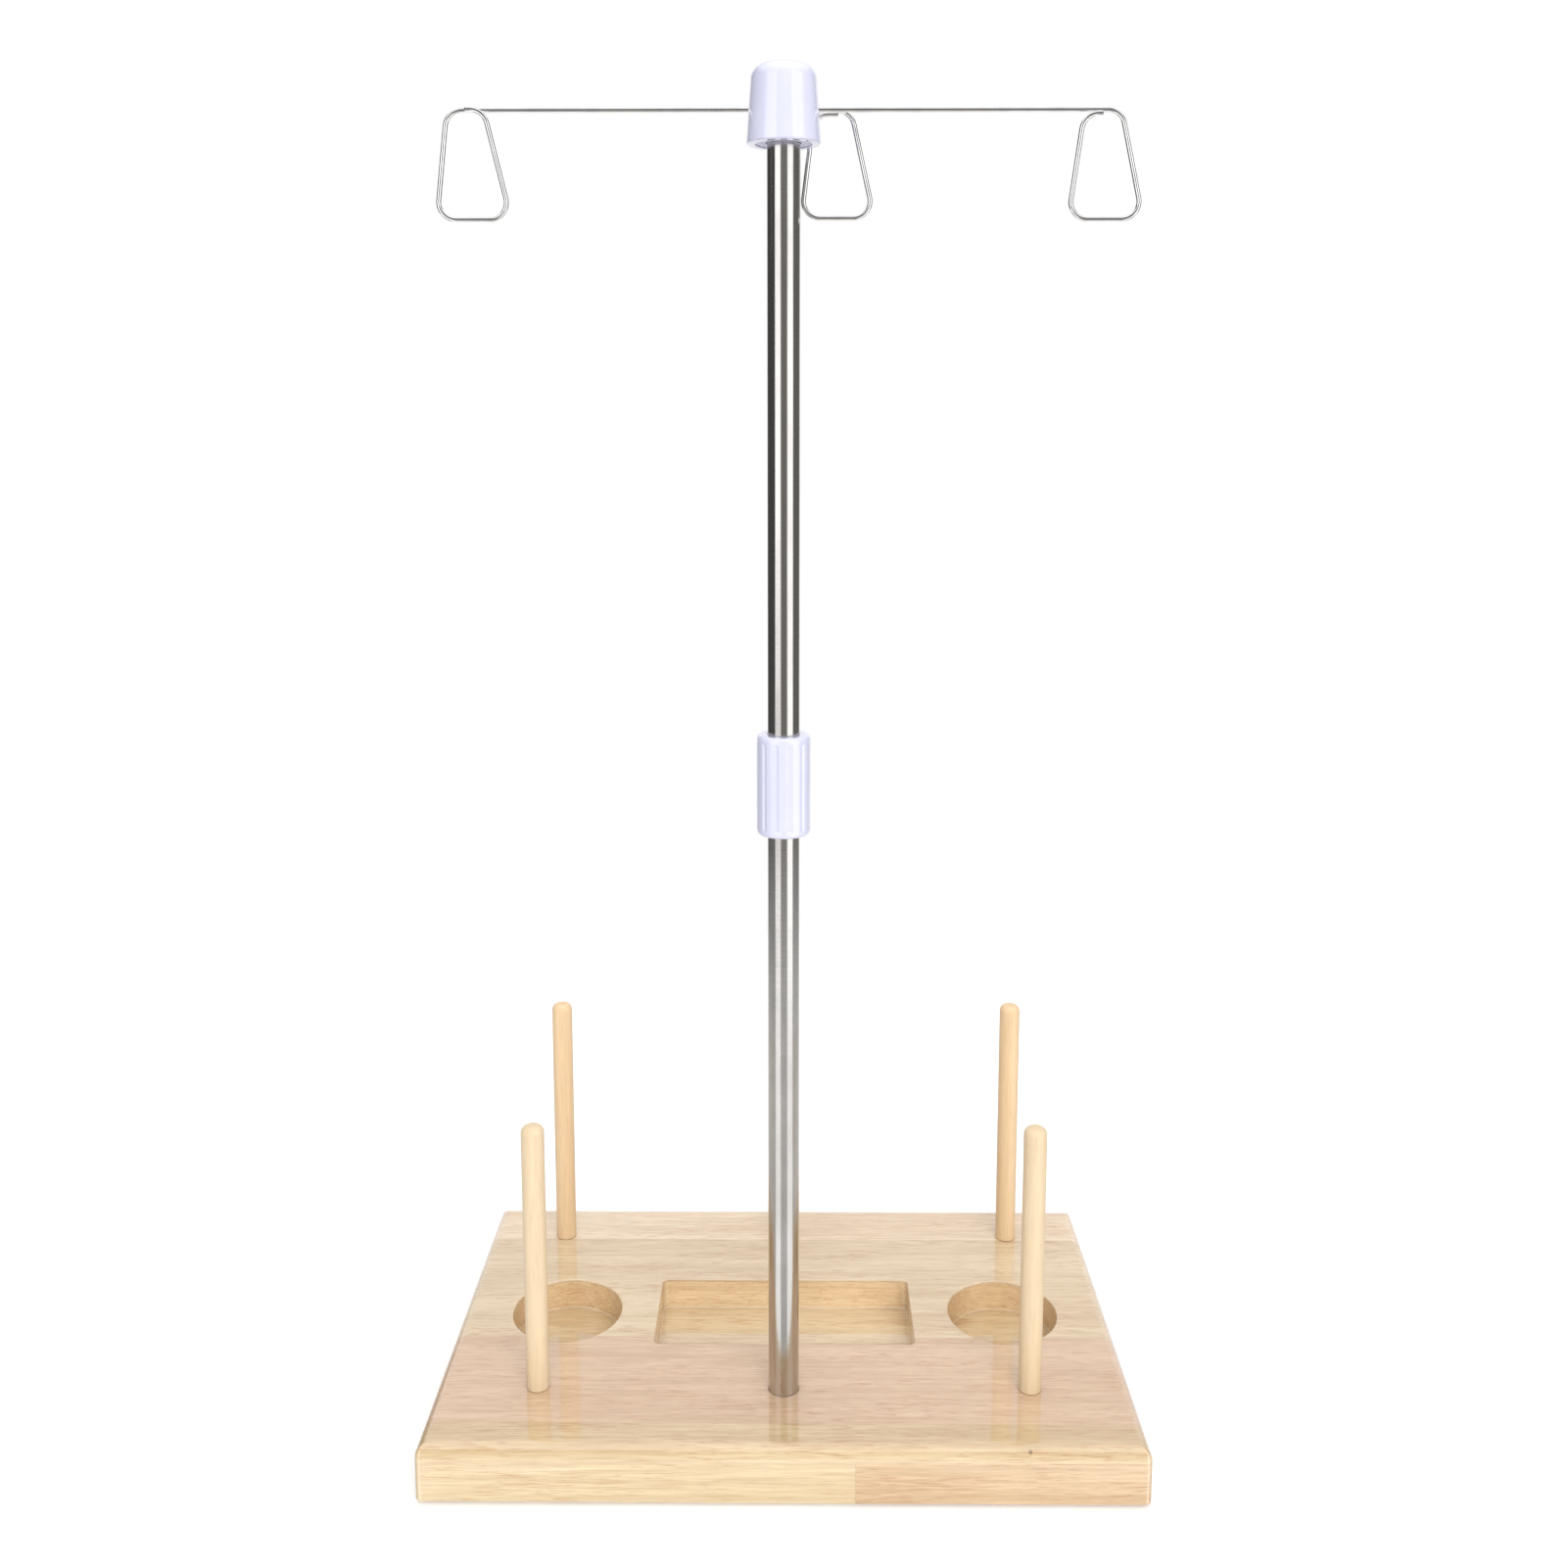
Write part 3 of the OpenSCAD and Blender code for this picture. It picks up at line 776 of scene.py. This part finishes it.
def build_collar(material):
    low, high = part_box("joint_collar")
    centre = (low + high) / 2
    radius = (high.x - low.x) / 2

    def grooved(r, z, angle):
        if r < COLLAR_BORE_R + 1 * MM:
            return r
        turn = (angle / TAU * GROOVES) % 1 - 0.5
        offset = abs(turn) * TAU / GROOVES * radius / GROOVE_HALF_WIDTH
        end = min(z - low.z, high.z - z) - GROOVE_END
        into = min(end / GROOVE_RUNOUT, 1)
        if offset >= 1 or into <= 0:
            return r
        return r - GROOVE_DEPTH * math.cos(math.pi / 2 * offset) ** 2 * math.sin(math.pi / 2 * into)

    edge = COLLAR_EDGE_R
    profile = arc(radius - edge, low.z + edge, edge, -90, 0, 6)
    run = [low.z + GROOVE_END + GROOVE_RUNOUT * i / 4 for i in range(5)]
    profile += [(radius, z) for z in run]
    profile += [(radius, centre.z)]
    profile += [(radius, high.z + low.z - z) for z in reversed(run)]
    profile += arc(radius - edge, high.z - edge, edge, 0, 90, 6)
    bore, mouth, stop = COLLAR_BORE_R, COLLAR_MOUTH_R, COLLAR_STOP
    profile += arc(bore + mouth, high.z - mouth, mouth, 90, 180, 3)
    profile += [(bore, centre.z + stop), (bore - stop, centre.z + stop)]
    profile += [(bore - stop, centre.z - stop), (bore, centre.z - stop)]
    profile += arc(bore + mouth, low.z + mouth, mouth, 180, 270, 3)
    verts, faces = lathe(profile, centre, GROOVES * GROOVE_SIDES, closed=True, radial=grooved)
    return new_piece("collar", verts, faces, material, "base", "joint_collar")


CAP_DRAFT = 1.5 * MM
CAP_SHOULDER_R = 5.5 * MM
CAP_RIM_R = 0.8 * MM
CAP_TOP = 3.5 * MM  # how thick the top is
CAP_CROWN = 0.15 * MM
CAP_SIDES = 96
CAVITY_R = 10 * MM
CAVITY_EDGE_R = 0.3 * MM
CAVITY_CHAMFER = 0.5 * MM


def build_cap(material):
    low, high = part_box("head_cap")
    centre = (low + high) / 2
    radius = (high.x - low.x) / 2
    flat_r = radius - CAP_DRAFT - CAP_SHOULDER_R
    shoulder_z = high.z - CAP_CROWN - CAP_SHOULDER_R
    edge, rim = CAVITY_EDGE_R, CAP_RIM_R
    profile = arc(CAVITY_R + edge, low.z + edge, edge, 180, 270, 3)
    profile += arc(radius - rim, low.z + rim, rim, -90, 0, 6)
    rise = shoulder_z - low.z - rim
    profile += [(radius - CAP_DRAFT * i / 5, low.z + rim + rise * i / 5) for i in range(1, 5)]
    profile += arc(flat_r, shoulder_z, CAP_SHOULDER_R, 0, 88, 16)
    profile += [(flat_r * 0.5, high.z - CAP_CROWN * 0.25), (0, high.z)]
    ceiling = high.z - CAP_TOP
    cavity = [(0, ceiling), (CAVITY_R - CAVITY_CHAMFER, ceiling), (CAVITY_R, ceiling - CAVITY_CHAMFER)]
    verts, faces = lathe(profile, centre, CAP_SIDES)
    cavity_verts, cavity_faces = lathe(cavity, centre, CAP_SIDES)
    shift = len(verts)
    faces += [tuple(i + shift for i in face[::-1]) for face in cavity_faces]
    verts += cavity_verts
    last = len(verts) - CAP_SIDES
    for k in range(CAP_SIDES):
        following = (k + 1) % CAP_SIDES
        faces.append((k, last + k, last + following, following))
    return new_piece("cap", verts, faces, material, "head", "head_cap", sharp_deg=50)


PAD_EDGE_R = 0.35 * MM
PAD_DRAFT = 0.05 * MM
PAD_SIDES = 48


def build_pad(node, material):
    low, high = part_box(node)
    radius = (high.x - low.x) / 2
    edge = PAD_EDGE_R
    profile = [(0, low.z), (radius * 0.6, low.z)]
    profile += arc(radius - edge, low.z + edge, edge, -90, 0, 4)
    profile += [(radius - PAD_DRAFT, high.z), (0, high.z)]
    verts, faces = lathe(profile, (low + high) / 2, PAD_SIDES)
    return new_piece(node + "_disc", verts, faces, material, "base", node)


# ---------------------------------------------------------------- bent wire

WIRE_R = 0.9 * MM
WIRE_BEND_R = 6 * MM
WIRE_END_R = 0.3 * MM  # how far the cut ends are eased
WIRE_START = 3 * MM  # from the pole's axis to where a wire begins, inside the hub
LOOP_TOP = 13.4 * MM  # widths of a loop between its corners, before they are rounded
LOOP_BOTTOM = 26.4 * MM
LOOP_LEAN = 2 * MM  # how far the bottom of a loop is shifted to the right
TAIL_GAP = 2.1 * MM  # between the axes of the arm and of the tail that passes it
MIDDLE_TAIL = 2 * MM  # how far the middle wire's tail ends past the loop's middle
MIDDLE_ANGLE = math.radians(55)  # from straight right, the way the middle wire leaves the hub
MIDDLE_BEND_R = 3.5 * MM
WIRE_SIDES = 20
BEND_STEPS = 14


def wire_route(corners, radii):
    """(point, direction) pairs along straight runs joined by round bends."""
    first = (corners[1] - corners[0]).normalized()
    route = [(corners[0], first)]
    for before, corner, after, radius in zip(corners, corners[1:], corners[2:], radii):
        along, leaving = (corner - before).normalized(), (after - corner).normalized()
        turn = along.angle(leaving)
        inward = (leaving - along * leaving.dot(along)).normalized()
        start = corner - along * radius * math.tan(turn / 2)
        for i in range(BEND_STEPS + 1):
            a = turn * i / BEND_STEPS
            point = start + inward * radius * (1 - math.cos(a)) + along * radius * math.sin(a)
            route.append((point, along * math.cos(a) + inward * math.sin(a)))
    route.append((corners[-1], (corners[-1] - corners[-2]).normalized()))
    return route


def sweep(route, radius):
    """Round bar along the route, its ends eased where they were cut."""
    ease = WIRE_END_R
    head, tail = route[0], route[-1]
    rings = [(head[0], head[1], radius - ease), (head[0] + head[1] * ease, head[1], radius)]
    rings += [(point, along, radius) for point, along in route[1:-1]]
    rings += [(tail[0] - tail[1] * ease, tail[1], radius), (tail[0], tail[1], radius - ease)]
    verts, faces = [], []
    across = Vector((0.1, 1, 0.2))
    for centre, along, ring_r in rings:
        across = (across - along * across.dot(along)).normalized()
        side = along.cross(across)
        for k in range(WIRE_SIDES):
            a = TAU * k / WIRE_SIDES
            verts.append(centre + (across * math.cos(a) + side * math.sin(a)) * ring_r)
    for i in range(len(rings) - 1):
        for k in range(WIRE_SIDES):
            near, far, following = i * WIRE_SIDES, (i + 1) * WIRE_SIDES, (k + 1) % WIRE_SIDES
            faces.append((near + k, near + following, far + following, far + k))
    faces.append(tuple(reversed(range(WIRE_SIDES))))
    faces.append(tuple(len(verts) - WIRE_SIDES + k for k in range(WIRE_SIDES)))
    return verts, faces


def loop_corners(x, y, level, floor, first_side, tail_shift):
    """Corners of a hanging loop, from the arm's far corner round to where the tail turns in."""
    other = -first_side
    return [
        Vector((x + first_side * LOOP_TOP / 2, y, level)),
        Vector((x + LOOP_LEAN + first_side * LOOP_BOTTOM / 2, y, floor)),
        Vector((x + LOOP_LEAN + other * LOOP_BOTTOM / 2, y, floor)),
        Vector((x + other * LOOP_TOP / 2, y, level)) + tail_shift,
    ]


def build_wire(side, corners, radii, material):
    verts, faces = sweep(wire_route(corners, radii), WIRE_R)
    node = side + "_guide"
    new_piece(side + "_wire", verts, faces, material, "head", node, sharp_deg=35)


def build_guides(material):
    """The side guides run straight out; the middle one runs back and turns right behind the cap."""
    pole = middle_of("lower_tube")
    low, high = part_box("right_guide")
    level, floor = high.z - WIRE_R, low.z + WIRE_R
    below = Vector((0, -math.sin(math.pi / 4), -math.sin(math.pi / 4))) * TAIL_GAP
    front = Vector((0, -TAIL_GAP, 0))
    bends = [WIRE_BEND_R] * 4

    reach = high.x - WIRE_R - LOOP_LEAN - LOOP_BOTTOM / 2
    for side, turn, tail in (("right", 1, below), ("left", -1, front)):
        hub = Vector((pole.x + turn * WIRE_START, pole.y, level))
        corners = [hub] + loop_corners(turn * reach, pole.y, level, floor, turn, tail)
        corners.append(Vector((turn * reach, pole.y, level)) + tail)
        build_wire(side, corners, bends, material)

    low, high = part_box("middle_guide")
    level, floor = high.z - WIRE_R, low.z + WIRE_R
    x = high.x - WIRE_R - LOOP_LEAN - LOOP_BOTTOM / 2
    y = high.y - WIRE_R
    leaving = Vector((math.cos(MIDDLE_ANGLE), math.sin(MIDDLE_ANGLE), 0))
    hub = Vector((pole.x, pole.y, level)) + leaving * WIRE_START
    bend = Vector((pole.x + (y - pole.y) / math.tan(MIDDLE_ANGLE), y, level))
    corners = [hub, bend] + loop_corners(x, y, level, floor, 1, below)
    corners.append(Vector((x + MIDDLE_TAIL, y, level)) + below)
    build_wire("middle", corners, [MIDDLE_BEND_R] + bends, material)


# ---------------------------------------------------------------- light and floor

FLOOR_SIZE = 1.1
KEY_SIZE = (2.6, 1.4)
KEY_POWER = 75
KEY_FROM = (0.6, -2.6, 1.8)
FILL_SIZE = (2.2, 2.2)
FILL_POWER = 22
FILL_FROM = (0, 0.3, 2.6)

# What shiny surfaces mirror: large parts of the room, then patches laid over them in this order. Angles
# are in degrees: azimuth is 0 towards the front and 90 to the right, and elevation is 0 at the level.
ROOM = (0.72, 0.72, 0.72)
BACK_WALL = (1.0, 1.0, 1.0)
BACK_WALL_FROM = (138, 144)  # the azimuths to each side between which it takes over
CEILING = (0.92, 0.92, 0.92)
CEILING_FROM = (12, 24)
BEHIND = (0.8, 0.8, 0.8)  # the part of the back wall that the lacquered top mirrors to the camera
BEHIND_FROM = (148, 156)
BEHIND_HEIGHT = (24, 44)
OVERHEAD = (1.15, 1.15, 1.15)  # the same straight up and straight down
OVERHEAD_FROM = (50, 56)
UNDERFOOT_TO = (-66, -60)
LEFT_SIDE, LEFT_BOX, GAP, RIGHT_BOX, RIGHT_SIDE = (-146, -61), (-60, -22), (-18, 24), (28, 68), (70, 142)
WIDE_GAP = (-22, 28)
SOFT_BOX = (1.7, 1.7, 1.7)
LOW_SOFT_BOX = (1.32, 1.31, 1.29)
BLACK = (0.01, 0.01, 0.01)
PATCHES = (  # colour, azimuths, how softly they end, elevations, how softly they end
    ((0.08, 0.078, 0.075), LEFT_SIDE, 3, (-19, 38), 6),
    ((0.17, 0.165, 0.16), RIGHT_SIDE, 3, (-19, 38), 6),
    ((0.40, 0.39, 0.38), LEFT_SIDE, 3, (-60, -31), 2),
    ((0.68, 0.67, 0.66), LEFT_SIDE, 3, (-31, -22), 1),
    ((0.50, 0.49, 0.48), RIGHT_SIDE, 3, (-60, -31), 2),
    ((0.72, 0.71, 0.70), RIGHT_SIDE, 3, (-31, -22), 1),
    (BLACK, WIDE_GAP, 3, (13, 50), 3),
    ((0.22, 0.205, 0.195), GAP, 3, (-19, 12), 3),
    ((0.68, 0.67, 0.66), GAP, 3, (-35, -22), 1),
    (BLACK, WIDE_GAP, 3, (-62, -37), 2),
    (SOFT_BOX, LEFT_BOX, 2, (-60, 22), 6),
    (SOFT_BOX, RIGHT_BOX, 2, (-60, 22), 6),
    ((0.85, 0.84, 0.83), LEFT_BOX, 2, (-17, -10), 2),
    (LOW_SOFT_BOX, LEFT_BOX, 2, (-60, -22), 1),
    (LOW_SOFT_BOX, RIGHT_BOX, 2, (-60, -22), 1),
)


def soft_light(name, size, power, place):
    """Wide soft light that faces the object and that the steel doesn't mirror."""
    data = bpy.data.lights.new(name, "AREA")
    data.shape = "RECTANGLE"
    data.size, data.size_y = size
    data.energy = power
    light = bpy.data.objects.new(name, data)
    bpy.context.scene.collection.objects.link(light)
    light.location = place
    light.rotation_euler = Vector(place).to_track_quat("Z", "Y").to_euler()
    light.visible_camera = False
    light.visible_glossy = False


def studio_light():
    """White to the camera, and even light on matt surfaces.

    Shiny surfaces mirror a room with a soft box to each side of the camera and darker patches between and
    beyond them, which gives the pole its streaks.
    """
    world = bpy.data.worlds.new("studio")
    bpy.context.scene.world = world
    world.use_nodes = True
    nodes = Nodes(world.node_tree)
    x, y, z = nodes.split(nodes.add("ShaderNodeTexCoord").outputs["Generated"])
    azimuth = nodes.math("ARCTAN2", x, nodes.math("MULTIPLY", y, -1.0))
    azimuth = nodes.math("MULTIPLY", azimuth, 360 / TAU)
    elevation = nodes.math("MULTIPLY", nodes.math("ARCSINE", z), 360 / TAU)
    aside = nodes.math("ABSOLUTE", azimuth)

    def band(value, limits, soft):
        """1 between the limits, fading to 0 within soft degrees of each."""
        low, high = limits
        above = nodes.ramp(value, low - soft, low + soft)
        return nodes.math("MULTIPLY", above, nodes.ramp(value, high - soft, high + soft, 1.0, 0.0))

    room = nodes.mix(nodes.ramp(aside, *BACK_WALL_FROM), ROOM, BACK_WALL)
    room = nodes.mix(nodes.ramp(elevation, *CEILING_FROM), room, CEILING)
    behind = nodes.math("MULTIPLY", nodes.ramp(aside, *BEHIND_FROM), band(elevation, BEHIND_HEIGHT, 3))
    room = nodes.mix(behind, room, BEHIND)
    for colour, azimuths, side_soft, elevations, end_soft in PATCHES:
        across = band(azimuth, azimuths, side_soft)
        upright = band(elevation, elevations, end_soft)
        room = nodes.mix(nodes.math("MULTIPLY", across, upright), room, colour)
    room = nodes.mix(nodes.ramp(elevation, *OVERHEAD_FROM), room, OVERHEAD)
    room = nodes.mix(nodes.ramp(elevation, *UNDERFOOT_TO, 1.0, 0.0), room, OVERHEAD)

    ray = nodes.add("ShaderNodeLightPath")
    seen = nodes.mix(ray.outputs["Is Glossy Ray"], ROOM, room)
    seen = nodes.mix(ray.outputs["Is Camera Ray"], seen, (1.0, 1.0, 1.0))
    background = nodes.add("ShaderNodeBackground")
    nodes.link(seen, background.inputs["Color"])
    output = nodes.add("ShaderNodeOutputWorld")
    nodes.link(background.outputs[0], output.inputs[0])


def floor_sheet():
    """Pale floor that shiny surfaces don't mirror."""
    mesh = bpy.data.meshes.new("floor")
    half, z = FLOOR_SIZE / 2, cad_low.z
    corners = [(-half, -half, z), (half, -half, z), (half, half, z), (-half, half, z)]
    mesh.from_pydata(corners, [], [(0, 1, 2, 3)])
    floor = bpy.data.objects.new("floor", mesh)
    bpy.context.scene.collection.objects.link(floor)
    material, nodes = new_material("floor")
    cloud = nodes.noise(nodes.place(), (400, 400, 400), detail=2)
    colour = nodes.mix(nodes.ramp(cloud, 0.3, 0.7), (0.97, 0.97, 0.97), (0.985, 0.985, 0.985))
    finish_material(material, nodes, colour, 0.8)
    mesh.materials.append(material)
    floor.visible_glossy = False


# ---------------------------------------------------------------- scene


def paint(node, material):
    """Gives a CAD node that stays as it is its material."""
    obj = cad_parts[node]
    obj.data.materials.clear()
    obj.data.materials.append(material)


def build_all():
    build_board(board_wood())
    dowel = dowel_wood()
    for pin in PINS:
        build_pin(pin, dowel)
    steel = tube_steel()
    build_tube("lower_tube", steel, "base")
    build_tube("upper_tube", steel, "upper_pole")
    white = white_plastic("white_plastic", 1.0)
    build_collar(white)
    build_cap(white)
    paint("guide_hub", white_plastic("hub_plastic", 0.0))
    build_guides(wire_steel())
    rubber = pad_rubber()
    for pad in ("front_left_pad", "front_right_pad", "rear_left_pad", "rear_right_pad"):
        build_pad(pad, rubber)
    inner = inner_plastic()
    for node in ("foot_plug", "joint_spigot"):
        paint(node, inner)
    zinc = zinc_steel()
    for node in ("pole_screw", "screw_washer"):
        paint(node, zinc)


add_camera()
build_all()
studio_light()
soft_light("key", KEY_SIZE, KEY_POWER, KEY_FROM)
soft_light("fill", FILL_SIZE, FILL_POWER, FILL_FROM)
floor_sheet()
bpy.context.scene.view_settings.view_transform = "Standard"
